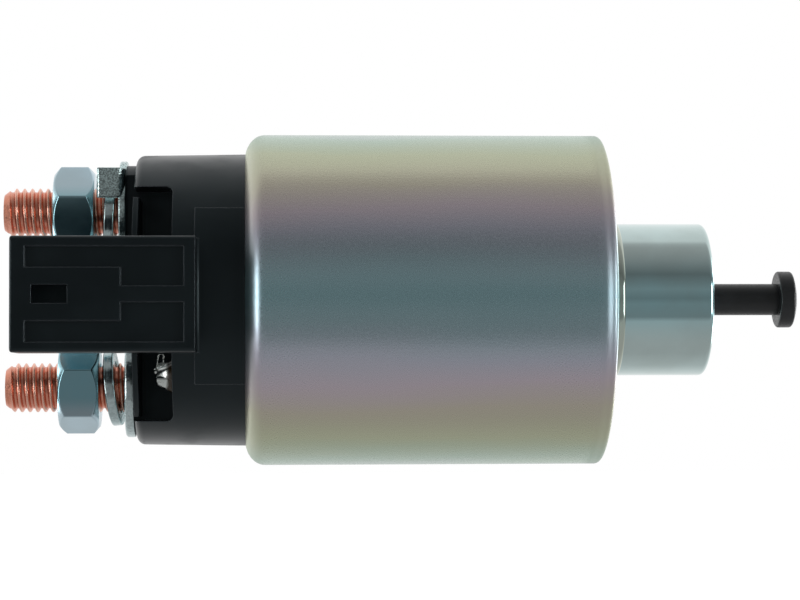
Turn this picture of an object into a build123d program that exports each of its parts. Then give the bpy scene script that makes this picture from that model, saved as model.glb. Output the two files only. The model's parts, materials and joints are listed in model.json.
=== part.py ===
"""Starter solenoid: a round can with a coil and plunger, closed by a plastic cap with two studs.

The frame is the part's own: the X axis is the solenoid's axis, positive towards the pull rod, and
X is 0 on the front mounting face. Z is up, the studs lie above and below the axis, and the plug
connector faces -Y. All sizes are in millimetres.
"""

import math
import os

from build123d import *

os.makedirs("parts", exist_ok=True)

# Gaps
running_gap = 0.08  # radial, between a sliding piece and its guide
free_gap = 0.3  # between pieces that pass each other
fit_gap = 0.1  # between fixed pieces that are put together by hand

# Can
can_radius = 26.6
can_length = 57.0
can_wall = 2.1
can_rim_wall = 1.6
pole_wall = 7.0
can_front_round = 0.8
lip_length = 3.2
lip_height = 4.0
lip_reach = 3.0
lip_wall = 1.9
mount_circle = 42.0
mount_holes = 3
mount_hole_radius = 2.1
mount_hole_chamfer = 0.5

# Plunger and its guide sleeve
plunger_radius = 12.32
plunger_length = 36.26
plunger_round = 0.85
plunger_seat_radius = 9.5
plunger_seat_depth = 4.0
plunger_web = 9.0
plunger_bore = 7.5
plunger_chamfer = 0.5
retainer_thickness = 1.7
retainer_step = 1.0
retainer_inset = 0.26
guide_wall = 0.35
guide_stand = 3.0
travel = 11.7
stop_gap = 0.3

# Pull rod
pull_rod_radius = 2.55
pull_rod_reach = 15.37
button_radius = 4.57
button_thickness = 3.2
button_rear_round = 0.4
button_front_round = 0.5
button_dome = 0.85
pull_flange_thickness = 2.0

# Fixed core
core_disc = 5.0
core_boss = 14.0
core_seat_radius = 9.5
core_seat_depth = 4.0
core_chamfer = 0.6

# Coil
bobbin_wall = 1.3
bobbin_flange = 1.6
bobbin_side_gap = 0.4
pull_in_share = 0.49
wrap_thickness = 0.5
wrap_inset = 1.1
lead_radius = 0.5
lead_angle = 38.0
lead_inset = 0.9
lead_sleeve = 0.4

# Cap
cap_length = 17.3
cap_draft = 0.3
cap_flange = 3.9
cap_corner = 1.3
cap_end_wall = 7.8
gasket_thickness = 1.2
gasket_width = 3.4
spring_pit_radius = 4.6
spring_pit_depth = 4.0
pocket_depth = 6.1
pocket_floor = 5.0
pocket_top = 17.1
pocket_bottom = 19.3
pocket_round = 1.0
patch_length = 7.7
patch_half_width = 13.6
patch_height = 0.2
core_out_start = 2.0
core_out_half_width = 11.0
core_out_round = 1.5

# Connector shroud
shroud_reach = 17.8
shroud_root = 9.9
shroud_width = 17.5
shroud_near = 29.5
shroud_inner = 17.0
shroud_round = 0.8
shroud_mouth_round = 0.4
shroud_root_round = 0.6
shroud_wall = 1.7
shroud_near_wall = 2.5
shroud_inner_wall = 1.6
socket_depth = 15.4
socket_round = 1.2
panel_depth = 0.9
panel_margin = 1.55
panel_inset = 2.25
panel_foot = 1.7
latch_width = 8.0
latch_length = 14.3
latch_rib_width = 2.4
window_inset = 3.3
window_length = 5.3
window_width = 2.76

# Start terminal
blade_width = 6.3
blade_thickness = 0.8
blade_from_inner = 2.8
blade_recess = 8.6
blade_taper = 1.0
tag_overhang = 1.2
solder_tip_radius = 0.95
solder_margin = 0.55
solder_height = 2.7
solder_slump = 0.6
lead_stick_out = 2.4

# Studs, nuts and washers
stud_radius = 3.93
thread_pitch_radius = 3.59
stud_spacing = 28.1
stud_tip_radius = 2.9
stud_tip_chamfer = 1.35
battery_stud_reach = 21.0
motor_stud_reach = 21.3
stud_head_radius = 6.35
stud_head_flats = 11.0
stud_head_thickness = 4.0
boss_radius = 7.6
battery_boss = 0.3
motor_boss = 1.6
seal_width = 1.0
seal_thickness = 1.2
nut_flats = 13.0
nut_height = 6.5
nut_chamfer = 1.1
nut_face_radius = 6.2
battery_nut_turn = -22.0
motor_nut_turn = -17.0
battery_nut_gap = 4.15
motor_nut_gap = 4.0
flat_washer_radius = 8.0
flat_washer_thickness = 1.55
washer_gap = 0.25
tab_washer_radius = 8.3
tab_washer_thickness = 1.2
tab_width = 4.8
tab_offset = 1.9
tab_length = 4.6
tab_bend = 0.4
tab_notch = 0.9
spring_washer_bore = 4.2
spring_washer_width = 1.95
spring_washer_thickness = 1.6
spring_washer_rise = 0.5
spring_washer_turn = 345.0
battery_spring_washer_gap = 2.05
battery_spring_washer_tilt = (-5.5, -4.0)
motor_spring_washer_gap = 1.6
motor_spring_washer_tilt = (4.0, 0.0)

# Contact bridge and its rod
contact_gap = 3.0
overtravel = 0.5
bridge_thickness = 2.0
bridge_overlap = 4.5
bridge_half_width = 6.0
bush_radius = 3.6
bush_flange_radius = 5.5
bush_flange = 1.2
contact_rod_radius = 3.0
contact_tail_radius = 2.0
contact_tail_length = 1.0
contact_flange_radius = 5.0
contact_flange = 1.4
contact_tip_gap = 0.2
clip_thickness = 0.8
clip_radius = 3.3
clip_groove = 0.5

# Springs
return_wire = 0.6
return_radius = 8.6
return_turns = 6
meshing_wire = 1.1
meshing_radius = 5.2
meshing_turns = 5
contact_wire = 0.4
contact_spring_radius = 3.4
contact_turns = 3
rest_wire = 0.35
rest_radius = 3.95
rest_turns = 4.5

# Radii that follow from the sizes above
can_bore = can_radius - can_wall
rim_bore = can_radius - can_rim_wall
lip_bore = can_radius - lip_reach
cap_radius = lip_bore - fit_gap
cap_end_radius = cap_radius - cap_draft
guide_bore = plunger_radius + running_gap
guide_radius = guide_bore + guide_wall
bobbin_radius = guide_radius + bobbin_wall
flange_radius = can_bore - bobbin_side_gap
wrap_radius = flange_radius - wrap_inset
hold_in_radius = wrap_radius - wrap_thickness
pull_in_radius = bobbin_radius + pull_in_share * (hold_in_radius - bobbin_radius)
pull_flange_radius = plunger_bore - running_gap
contact_bore = contact_rod_radius + running_gap
stud_bore = stud_radius + fit_gap
stud_offset = stud_spacing / 2
chamber_radius = stud_offset + stud_head_radius + fit_gap
bridge_radius = stud_offset + bridge_overlap

# Places along X, from the front face to the rear
x_pole = -pole_wall
x_lip = -can_length
lip_end = math.asin(1 - lip_reach / lip_height)
x_lip_start = x_lip + lip_length * math.cos(lip_end)
x_shoulder = x_lip + lip_wall
x_cap_front = x_shoulder + cap_flange
x_core_rear = x_cap_front + gasket_thickness
x_core_front = x_core_rear + core_disc
x_boss = x_core_front + core_boss
x_cap_end = x_lip - cap_length
x_chamber = x_cap_end + cap_end_wall
x_heads = x_chamber + stud_head_thickness
x_bridge = x_heads + contact_gap
x_bush = x_bridge - bush_flange
x_bridge_front = x_bridge + bridge_thickness
x_contact_spring = x_bridge_front + bush_flange
x_clip = x_bush - clip_thickness
x_contact_flange = x_core_rear - free_gap - contact_flange
x_pocket = x_cap_end + pocket_depth
x_plunger = x_boss + travel + stop_gap
x_plunger_seat = x_plunger + plunger_seat_depth
x_plunger_bore = x_plunger_seat + plunger_web
x_plunger_front = x_plunger + plunger_length
x_retainer = x_plunger_front - retainer_inset - retainer_thickness
x_contact_tip = x_plunger_seat - travel - contact_tip_gap + contact_gap + overtravel
x_socket = x_cap_end - shroud_reach + socket_depth
x_tag = x_pocket + blade_thickness / 2


def bar(x_low, x_high, radius, y=0.0, z=0.0):
    """A round bar along X."""
    return extrude(Plane.YZ.offset(x_low) * Pos(y, z) * Circle(radius), x_high - x_low)


def ring(x_low, x_high, outer, inner, y=0.0, z=0.0):
    """A flat ring or tube along X."""
    face = Circle(outer) - Circle(inner)
    return extrude(Plane.YZ.offset(x_low) * Pos(y, z) * face, x_high - x_low)


def block(x_low, x_high, y_low, y_high, z_low, z_high):
    """A box between two corners."""
    box = Box(x_high - x_low, y_high - y_low, z_high - z_low)
    return Pos((x_low + x_high) / 2, (y_low + y_high) / 2, (z_low + z_high) / 2) * box


def turned(*points):
    """A turned solid: the profile is a list of (X, radius) points."""
    return revolve(make_face(Polyline(*points, close=True)), Axis.X)


def turned_with_rounds(points, rounds):
    """A turned solid whose named profile corners are rounded: rounds maps a point to its radius."""
    face = make_face(Polyline(*points, close=True))
    for point, radius in rounds.items():
        corner = face.vertices().sort_by_distance((point[0], point[1], 0))[0]
        face = fillet(corner, radius)
    return revolve(face, Axis.X)


def coil(x_low, x_high, radius, wire, turns):
    """A helical spring of round wire, whose outer surface reaches from x_low to x_high."""
    length = x_high - x_low - 2 * wire
    path = Helix(length / turns, length, radius, center=(x_low + wire, 0, 0), direction=(1, 0, 0))
    section = Plane(origin=path @ 0, z_dir=path % 0) * Circle(wire)
    return sweep(section, path, is_frenet=True)


def lead_place(radius, angle):
    """Y and Z of a coil lead, on a radius and at an angle below the connector's side."""
    return -radius * math.cos(math.radians(angle)), -radius * math.sin(math.radians(angle))


pull_in_lead_radius = pull_in_radius - lead_inset
hold_in_lead_radius = hold_in_radius - 2 * lead_inset
pull_in_start = lead_place(pull_in_lead_radius, lead_angle)
hold_in_start = lead_place(hold_in_lead_radius, lead_angle)
ground_end = lead_place(hold_in_lead_radius, 180 - lead_angle)
lead_spread = hold_in_lead_radius - pull_in_lead_radius
solder_base_radius = lead_spread / 2 + lead_radius + solder_margin
tag_depth = lead_spread * math.cos(math.radians(lead_angle)) + 2 * tag_overhang
motor_lead_y = bridge_half_width + free_gap + 2 * lead_radius + lead_inset
motor_lead = (motor_lead_y, stud_offset)
chamber_half_width = motor_lead_y + lead_radius + lead_inset


def make_can():
    """Cup with a thick pole wall in front and its rear rim rolled inwards over the cap."""
    profile = [
        Line((0, guide_radius), (0, can_radius)),
        Line((0, can_radius), (x_lip_start, can_radius)),
        EllipticalCenterArc(
            (x_lip_start, can_radius - lip_height),
            lip_length,
            lip_height,
            90,
            arc_size=90 - math.degrees(lip_end),
        ),
        Polyline(
            (x_lip, lip_bore),
            (x_shoulder, lip_bore),
            (x_shoulder, rim_bore),
            (x_core_front, rim_bore),
            (x_core_front, can_bore),
            (x_pole, can_bore),
            (x_pole, guide_radius),
            (0, guide_radius),
        ),
    ]
    face = make_face(profile)
    corner = face.vertices().sort_by_distance((0, can_radius, 0))[0]
    can = revolve(fillet(corner, can_front_round), Axis.X)
    for index in range(mount_holes):
        angle = math.radians(90 + index * 360 / mount_holes)
        y = mount_circle / 2 * math.cos(angle)
        z = mount_circle / 2 * math.sin(angle)
        can -= bar(x_pole, 0, mount_hole_radius, y, z)
        mouth = Plane.YZ.offset(-mount_hole_chamfer) * Pos(y, z)
        flare = mount_hole_radius + mount_hole_chamfer
        can -= loft(
            [mouth * Circle(mount_hole_radius), Plane.YZ * Pos(y, z) * Circle(flare)]
        )
    return can


def make_guide_sleeve():
    """Thin tube pressed into the can and over the core's boss: the plunger slides in it."""
    return ring(x_core_front, guide_stand, guide_radius, guide_bore)


def make_fixed_core():
    """Flange that closes the can's magnetic circuit, with a boss inside the guide sleeve."""
    core = turned(
        (x_core_rear, contact_bore),
        (x_core_rear, rim_bore),
        (x_core_front, rim_bore),
        (x_core_front, guide_bore),
        (x_boss - core_chamfer, guide_bore),
        (x_boss, guide_bore - core_chamfer),
        (x_boss, core_seat_radius),
        (x_boss - core_seat_depth, core_seat_radius),
        (x_boss - core_seat_depth, contact_bore),
    )
    for place in (pull_in_start, hold_in_start, motor_lead):
        core -= bar(x_core_rear, x_core_front, lead_radius + lead_sleeve, *place)
    return core - bar(x_core_front - core_disc / 2, x_core_front, lead_radius, *ground_end)


def make_bobbin():
    """Moulded spool that carries both windings."""
    bobbin = turned(
        (x_core_front, guide_radius),
        (x_core_front, flange_radius),
        (x_core_front + bobbin_flange, flange_radius),
        (x_core_front + bobbin_flange, bobbin_radius),
        (x_pole - bobbin_flange, bobbin_radius),
        (x_pole - bobbin_flange, flange_radius),
        (x_pole, flange_radius),
        (x_pole, guide_radius),
    )
    for place in (pull_in_start, hold_in_start, motor_lead, ground_end):
        bobbin -= bar(x_core_front, x_core_front + bobbin_flange, lead_radius, *place)
    return bobbin


def make_winding(outer, inner):
    """One layer group of the coil, between the bobbin's flanges."""
    return ring(x_core_front + bobbin_flange, x_pole - bobbin_flange, outer, inner)


def make_straight_lead(place, x_rear):
    """Coil wire that runs straight back from the winding."""
    return bar(x_rear, x_core_front + bobbin_flange, lead_radius, *place)


def make_motor_lead():
    """Coil wire that runs back into the contact chamber and bends to the motor stud's head."""
    y, z = motor_lead
    x_end = x_chamber + stud_head_thickness / 2
    start = (x_core_front + bobbin_flange, y, z)
    corner = (x_end, y, z)
    end = (x_end, stud_head_flats / 2, z)
    path = FilletPolyline(start, corner, end, radius=2 * lead_radius)
    return sweep(Plane(origin=start, z_dir=(-1, 0, 0)) * Circle(lead_radius), path)


def make_cap_gasket():
    """Flat seal between the cap's rim and the core."""
    return ring(x_cap_front, x_core_rear, rim_bore - fit_gap, rim_bore - gasket_width)


def stud_head_shape(gap=0.0):
    """Outline of a stud's head: a round with two flats that stop it turning."""
    width = 2 * (stud_head_radius + gap)
    return Circle(stud_head_radius + gap) & Rectangle(stud_head_flats + 2 * gap, width)


def make_stud(z, reach, x_nut):
    """M8 bolt with its head in the contact chamber: its nut meets it on the thread's pitch radius."""
    tip = x_cap_end - reach
    shank = turned(
        (x_chamber, 0),
        (x_chamber, stud_radius),
        (x_nut + nut_height, stud_radius),
        (x_nut + nut_height, thread_pitch_radius),
        (x_nut, thread_pitch_radius),
        (x_nut, stud_radius),
        (tip + stud_tip_chamfer, stud_radius),
        (tip, stud_tip_radius),
        (tip, 0),
    )
    head = extrude(Plane.YZ.offset(x_chamber) * stud_head_shape(), stud_head_thickness)
    return Pos(0, 0, z) * (shank + head)


def make_stud_seal(z):
    """Rubber ring round the stud, squeezed between its head and the cap."""
    return ring(x_chamber - seal_thickness, x_chamber, stud_radius + seal_width, stud_radius, z=z)


def cap_body():
    """The cap's turned body, with the flange that the can's rim holds."""
    points = [
        (x_cap_front, 0),
        (x_cap_front, rim_bore - fit_gap),
        (x_shoulder, rim_bore - fit_gap),
        (x_shoulder, cap_radius),
        (x_cap_end, cap_end_radius),
        (x_cap_end, 0),
    ]
    body = turned_with_rounds(points, {(x_cap_end, cap_end_radius): cap_corner})
    x_patch = x_lip - patch_length
    patch = bar(x_patch, x_lip, cap_radius + patch_height)
    return body + (patch & block(x_patch, x_lip, -can_radius, 0, -patch_half_width, patch_half_width))


def solder_pocket():
    """Room behind the connector, where the coil ends are soldered."""
    room = block(
        x_cap_end - 2 * pocket_round,
        x_pocket,
        -shroud_near,
        -pocket_floor,
        -pocket_bottom,
        pocket_top,
    )
    corners = room.edges().filter_by(Axis.Y).group_by(Axis.X)[-1]
    return fillet(corners, pocket_round)


def contact_chamber():
    """Hollow for the stud heads and the contact bridge, with the pit for the rest spring."""
    outline = Circle(chamber_radius) & Rectangle(2 * chamber_half_width, 2 * can_radius)
    chamber = extrude(Plane.YZ.offset(x_chamber) * outline, x_cap_front - x_chamber)
    return chamber + bar(x_chamber - spring_pit_depth, x_chamber, spring_pit_radius)


def cored_out():
    """Moulding hollow on the far side, which keeps the wall even."""
    inner = chamber_half_width + core_out_start
    outline = Circle(chamber_radius) & Pos((inner + can_radius) / 2, 0) * Rectangle(
        can_radius - inner, 2 * core_out_half_width
    )
    outline = fillet(outline.vertices(), core_out_round)
    return extrude(Plane.YZ.offset(x_chamber) * outline, x_cap_front - x_chamber)


def connector_shroud():
    """Plug connector beside the studs, open to the rear, with its latch window and panel."""
    x_mouth = x_cap_end - shroud_reach
    x_root = x_cap_end + shroud_root
    half = shroud_width / 2
    shroud = block(x_mouth, x_root, -shroud_near, -shroud_inner, -half, half)
    shroud = fillet(shroud.edges().filter_by(Axis.X), shroud_round)
    shroud = fillet(shroud.faces().sort_by(Axis.X)[0].edges(), shroud_mouth_round)
    floor = panel_depth - shroud_near
    panel = block(
        x_mouth + panel_inset,
        x_root - panel_foot,
        -shroud_near,
        floor,
        panel_margin - half,
        half - panel_margin,
    )
    x_latch = x_mouth + panel_inset + latch_length
    band = block(x_mouth, x_latch, -shroud_near, floor, -latch_width / 2, latch_width / 2)
    rib = block(x_latch, x_root, -shroud_near, floor, -latch_rib_width / 2, latch_rib_width / 2)
    shroud -= panel - band - rib
    socket = block(
        x_mouth,
        x_socket,
        shroud_near_wall - shroud_near,
        -shroud_inner - shroud_inner_wall,
        shroud_wall - half,
        half - shroud_wall,
    )
    shroud -= fillet(socket.edges().filter_by(Axis.X), socket_round)
    x_window = x_mouth + window_inset
    return shroud - block(
        x_window,
        x_window + window_length,
        -shroud_near,
        shroud_near_wall - shroud_near + socket_round,
        -window_width / 2,
        window_width / 2,
    )


def make_start_terminal():
    """Blade of the connector, bent down into the pocket and ending in a tag for the coil wires."""
    y_blade = -shroud_inner - shroud_inner_wall - blade_from_inner
    half = blade_thickness / 2
    x_tip = x_cap_end - shroud_reach + blade_recess
    y_tag = -pull_in_lead_radius * math.cos(math.radians(lead_angle)) + tag_overhang
    z_tag = -hold_in_lead_radius * math.sin(math.radians(lead_angle)) - tag_overhang
    side = make_face(
        Polyline(
            (x_tip, y_blade - half / 2),
            (x_tip + blade_taper, y_blade - half),
            (x_tag + half, y_blade - half),
            (x_tag + half, y_tag),
            (x_tag - half, y_tag),
            (x_tag - half, y_blade + half),
            (x_tip + blade_taper, y_blade + half),
            (x_tip, y_blade + half / 2),
            close=True,
        )
    )
    strip = extrude(side, blade_width / 2, both=True)
    tip_edges = strip.edges().filter_by(Axis.Y).group_by(Axis.X)[0]
    strip = chamfer(tip_edges, blade_taper)
    tag = block(x_tag - half, x_tag + half, y_tag - tag_depth, y_tag, z_tag, 0)
    terminal = strip + tag
    for place in (pull_in_start, hold_in_start):
        terminal -= bar(x_tag - half, x_tag + half, lead_radius, *place)
    return terminal


def make_solder_joint():
    """Solder that joins both coil starts to the tag: a lump that narrows towards their ends."""
    y = (pull_in_start[0] + hold_in_start[0]) / 2
    z = (pull_in_start[1] + hold_in_start[1]) / 2
    base = Plane.YZ.offset(x_pocket) * Pos(y, z - solder_slump) * Circle(solder_base_radius)
    tip = Plane.YZ.offset(x_pocket - solder_height) * Pos(y, z) * Circle(solder_tip_radius)
    joint = loft([tip, base])
    for place in (pull_in_start, hold_in_start):
        joint -= bar(x_pocket - solder_height - 1, x_pocket, lead_radius, *place)
    return joint


def make_cap(terminal):
    """Moulded cap with its connector, bosses, chamber, tunnels and holes."""
    cap = cap_body() - solder_pocket()
    for z, height in ((stud_offset, motor_boss), (-stud_offset, battery_boss)):
        boss = bar(x_cap_end - height, x_cap_end, boss_radius, z=z)
        cap += boss - block(
            x_cap_end - height, x_cap_end, -shroud_near, -pocket_floor, -can_radius, can_radius
        )
    cap += connector_shroud()
    x_root = x_cap_end + shroud_root
    root = cap.edges().filter_by_position(Axis.X, x_root, x_root).sort_by(SortBy.LENGTH)[-1]
    cap = fillet(root, shroud_root_round) - contact_chamber() - cored_out()
    for z in (stud_offset, -stud_offset):
        cap -= bar(x_cap_end - motor_boss, x_chamber, stud_bore, z=z)
        cap -= bar(x_chamber - seal_thickness, x_chamber, stud_radius + seal_width, z=z)
    for place in (pull_in_start, hold_in_start):
        cap -= bar(x_pocket, x_cap_front, lead_radius + fit_gap, *place)
    return cap - terminal


def make_nut(x_low, z, turn):
    """Hexagon nut, chamfered on both faces."""
    corner = nut_flats / math.sqrt(3)
    x_high = x_low + nut_height
    outline = RegularPolygon(corner, 6, rotation=turn) - Circle(thread_pitch_radius)
    prism = extrude(Plane.YZ.offset(x_low) * outline, nut_height)
    cone = turned(
        (x_low, 0),
        (x_low, nut_face_radius),
        (x_low + nut_chamfer, corner),
        (x_high - nut_chamfer, corner),
        (x_high, nut_face_radius),
        (x_high, 0),
    )
    return Pos(0, 0, z) * (prism & cone)


def make_flat_washer():
    """Washer on the battery stud, against the cap's boss."""
    x_high = x_cap_end - battery_boss
    return ring(
        x_high - flat_washer_thickness,
        x_high,
        flat_washer_radius,
        stud_radius + washer_gap,
        z=-stud_offset,
    )


def make_tab_washer():
    """Washer on the motor stud, with a tab bent back along the stud beside a relief notch."""
    x_high = x_cap_end - motor_boss
    x_low = x_high - tab_washer_thickness
    tab_top = tab_offset + tab_width
    y_inner = tab_washer_thickness - tab_washer_radius
    plate = Circle(tab_washer_radius)
    ear_depth = tab_washer_radius - stud_radius
    ear = Rectangle(ear_depth, tab_width)
    plate += Pos(-tab_washer_radius + ear_depth / 2, tab_offset + tab_width / 2) * ear
    plate -= Circle(stud_radius + washer_gap)
    washer = extrude(Plane.YZ.offset(x_low) * plate, tab_washer_thickness)
    washer -= block(
        x_low, x_high, -tab_washer_radius, y_inner + tab_bend, tab_offset - tab_notch, tab_offset
    )
    washer += block(
        x_high - tab_length, x_high, -tab_washer_radius, y_inner, tab_offset, tab_top
    )
    along = washer.edges().filter_by(Axis.Z)
    outer = along.sort_by_distance((x_high, -tab_washer_radius, tab_top))[0]
    washer = fillet(outer, tab_bend + tab_washer_thickness)
    inner = washer.edges().filter_by(Axis.Z).sort_by_distance((x_low, y_inner, tab_top))[0]
    return Pos(0, 0, stud_offset) * fillet(inner, tab_bend)


def make_spring_washer(x_middle, z, start, tilt):
    """Split ring with its ends sprung apart: a short helix that hangs loose and tilted on its stud."""
    middle = spring_washer_bore + spring_washer_width / 2
    share = spring_washer_turn / 360
    path = Helix(
        spring_washer_rise / share,
        spring_washer_rise,
        middle,
        center=(-spring_washer_rise / 2, 0, 0),
        direction=(1, 0, 0),
    )
    section = Plane(origin=path @ 0, x_dir=(1, 0, 0), z_dir=path % 0) * Rectangle(
        spring_washer_thickness, spring_washer_width
    )
    washer = sweep(section, path, is_frenet=True)
    return Pos(x_middle, 0, z) * Rot(0, *tilt) * Rot(start, 0, 0) * washer


def make_plunger():
    """Steel slug: a seat for the return spring behind, a bore for the meshing spring in front."""
    points = [
        (x_plunger, plunger_seat_radius),
        (x_plunger, plunger_radius - plunger_chamfer),
        (x_plunger + plunger_chamfer, plunger_radius),
        (x_plunger_front, plunger_radius),
        (x_plunger_front, plunger_bore + retainer_step),
        (x_retainer, plunger_bore + retainer_step),
        (x_retainer, plunger_bore),
        (x_plunger_bore, plunger_bore),
        (x_plunger_bore, 0),
        (x_plunger_seat, 0),
        (x_plunger_seat, plunger_seat_radius),
    ]
    return turned_with_rounds(points, {(x_plunger_front, plunger_radius): plunger_round})


def make_plunger_retainer():
    """Ring pressed into the plunger's front: the meshing spring pushes against it."""
    return ring(
        x_retainer,
        x_retainer + retainer_thickness,
        plunger_bore + retainer_step,
        pull_rod_radius + running_gap,
    )


def make_pull_rod():
    """Rod with an inner flange under the meshing spring and a domed button for the shift lever."""
    x_end = x_plunger_front + pull_rod_reach
    x_button = x_end - button_thickness
    x_flange = x_plunger_bore + pull_flange_thickness
    front_corner = (x_end - button_dome, button_radius)
    ball = (button_radius**2 + button_dome**2) / (2 * button_dome)
    half = button_radius / 2
    dome_middle = (x_end - ball + math.sqrt(ball**2 - half**2), half)
    outline = [
        Polyline((x_end, 0), (x_button, 0), (x_button, button_radius), front_corner),
        ThreePointArc(front_corner, dome_middle, (x_end, 0)),
    ]
    face = make_face(outline)
    for corner, radius in (
        ((x_button, button_radius), button_rear_round),
        (front_corner, button_front_round),
    ):
        face = fillet(face.vertices().sort_by_distance((*corner, 0))[0], radius)
    rod = bar(x_plunger_bore, x_button, pull_rod_radius)
    return rod + bar(x_plunger_bore, x_flange, pull_flange_radius) + revolve(face, Axis.X)


def make_contact_rod():
    """Rod that the plunger pushes: it carries the contact bridge."""
    x_tail = x_clip - contact_tail_length
    groove = contact_tail_radius - clip_groove
    return turned(
        (x_tail, 0),
        (x_tail, contact_tail_radius),
        (x_clip, contact_tail_radius),
        (x_clip, groove),
        (x_clip + clip_thickness, groove),
        (x_clip + clip_thickness, contact_tail_radius),
        (x_contact_flange, contact_tail_radius),
        (x_contact_flange, contact_flange_radius),
        (x_contact_flange + contact_flange, contact_flange_radius),
        (x_contact_flange + contact_flange, contact_rod_radius),
        (x_contact_tip, contact_rod_radius),
        (x_contact_tip, 0),
    )


def make_contact_clip():
    """Open retaining ring in the rod's groove, which holds the bridge against its spring."""
    groove = contact_tail_radius - clip_groove
    clip = ring(x_clip, x_clip + clip_thickness, clip_radius, groove)
    return clip - block(x_clip, x_clip + clip_thickness, -groove, groove, -clip_radius, 0)


def make_contact_bridge():
    """Copper bar that joins the two stud heads when the plunger is in."""
    outline = Circle(bridge_radius) & Rectangle(2 * bridge_half_width, 2 * bridge_radius)
    outline -= Circle(bush_radius)
    return extrude(Plane.YZ.offset(x_bridge) * outline, bridge_thickness)


def make_bridge_bush():
    """Insulating bush between the rod and the bridge, with a flange behind the bridge."""
    bore = contact_tail_radius + running_gap
    bush = ring(x_bush, x_bridge, bush_flange_radius, bore)
    return bush + ring(x_bridge, x_bridge_front, bush_radius, bore)


def make_bridge_washer():
    """Insulating washer under the contact spring."""
    bore = contact_tail_radius + running_gap
    return ring(x_bridge_front, x_contact_spring, bush_flange_radius, bore)


terminal = make_start_terminal()
x_lead_end = x_pocket - lead_stick_out
battery_seat = x_cap_end - battery_boss
motor_seat = x_cap_end - motor_boss
x_battery_washer = battery_seat - flat_washer_thickness
x_motor_washer = motor_seat - tab_washer_thickness
x_battery_nut = x_battery_washer - battery_nut_gap - nut_height
x_motor_nut = x_motor_washer - motor_nut_gap - nut_height
x_battery_spring_washer = x_battery_washer - battery_spring_washer_gap
x_motor_spring_washer = x_motor_washer - motor_spring_washer_gap
nodes = {
    "can": make_can(),
    "guide_sleeve": make_guide_sleeve(),
    "fixed_core": make_fixed_core(),
    "bobbin": make_bobbin(),
    "pull_in_winding": make_winding(pull_in_radius, bobbin_radius),
    "hold_in_winding": make_winding(hold_in_radius, pull_in_radius),
    "coil_wrap": make_winding(wrap_radius, hold_in_radius),
    "pull_in_start_lead": make_straight_lead(pull_in_start, x_lead_end),
    "hold_in_start_lead": make_straight_lead(hold_in_start, x_lead_end),
    "pull_in_end_lead": make_motor_lead(),
    "hold_in_ground_lead": make_straight_lead(ground_end, x_core_front - core_disc / 2),
    "cap": make_cap(terminal),
    "cap_gasket": make_cap_gasket(),
    "start_terminal": terminal,
    "solder_joint": make_solder_joint(),
    "battery_stud": make_stud(-stud_offset, battery_stud_reach, x_battery_nut),
    "motor_stud": make_stud(stud_offset, motor_stud_reach, x_motor_nut),
    "battery_stud_seal": make_stud_seal(-stud_offset),
    "motor_stud_seal": make_stud_seal(stud_offset),
    "battery_flat_washer": make_flat_washer(),
    "motor_tab_washer": make_tab_washer(),
    "battery_spring_washer": make_spring_washer(
        x_battery_spring_washer, -stud_offset, -80, battery_spring_washer_tilt
    ),
    "motor_spring_washer": make_spring_washer(
        x_motor_spring_washer, stud_offset, -100, motor_spring_washer_tilt
    ),
    "battery_nut": make_nut(x_battery_nut, -stud_offset, battery_nut_turn),
    "motor_nut": make_nut(x_motor_nut, stud_offset, motor_nut_turn),
    "contact_return_spring": coil(
        x_chamber - spring_pit_depth, x_bush, rest_radius, rest_wire, rest_turns
    ),
    "return_spring": coil(
        x_boss - core_seat_depth, x_plunger_seat, return_radius, return_wire, return_turns
    ),
    "plunger": make_plunger(),
    "plunger_retainer": make_plunger_retainer(),
    "meshing_spring": coil(
        x_plunger_bore + pull_flange_thickness,
        x_retainer,
        meshing_radius,
        meshing_wire,
        meshing_turns,
    ),
    "pull_rod": make_pull_rod(),
    "contact_rod": make_contact_rod(),
    "contact_clip": make_contact_clip(),
    "contact_spring": coil(
        x_contact_spring, x_contact_flange, contact_spring_radius, contact_wire, contact_turns
    ),
    "contact_bridge": make_contact_bridge(),
    "bridge_bush": make_bridge_bush(),
    "bridge_washer": make_bridge_washer(),
}

for name, solid in nodes.items():
    export_step(solid, f"parts/{name}.step")
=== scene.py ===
# %% [markdown]
# A starter solenoid, dressed for its portrait.
#
# The solenoid pulls a plunger into a coil. The plunger drags the starter's shift lever by its rod, and it
# closes a pair of heavy copper contacts. The solids come from the packed frame, at their real size in
# metres: X runs along the plunger's axis, towards the rod, and Z is up. This script gives the solids their
# finishes, models the small pieces again with threads and rounds, and sets up the camera and the light.

# %% Load the frame
import json
import math

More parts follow.
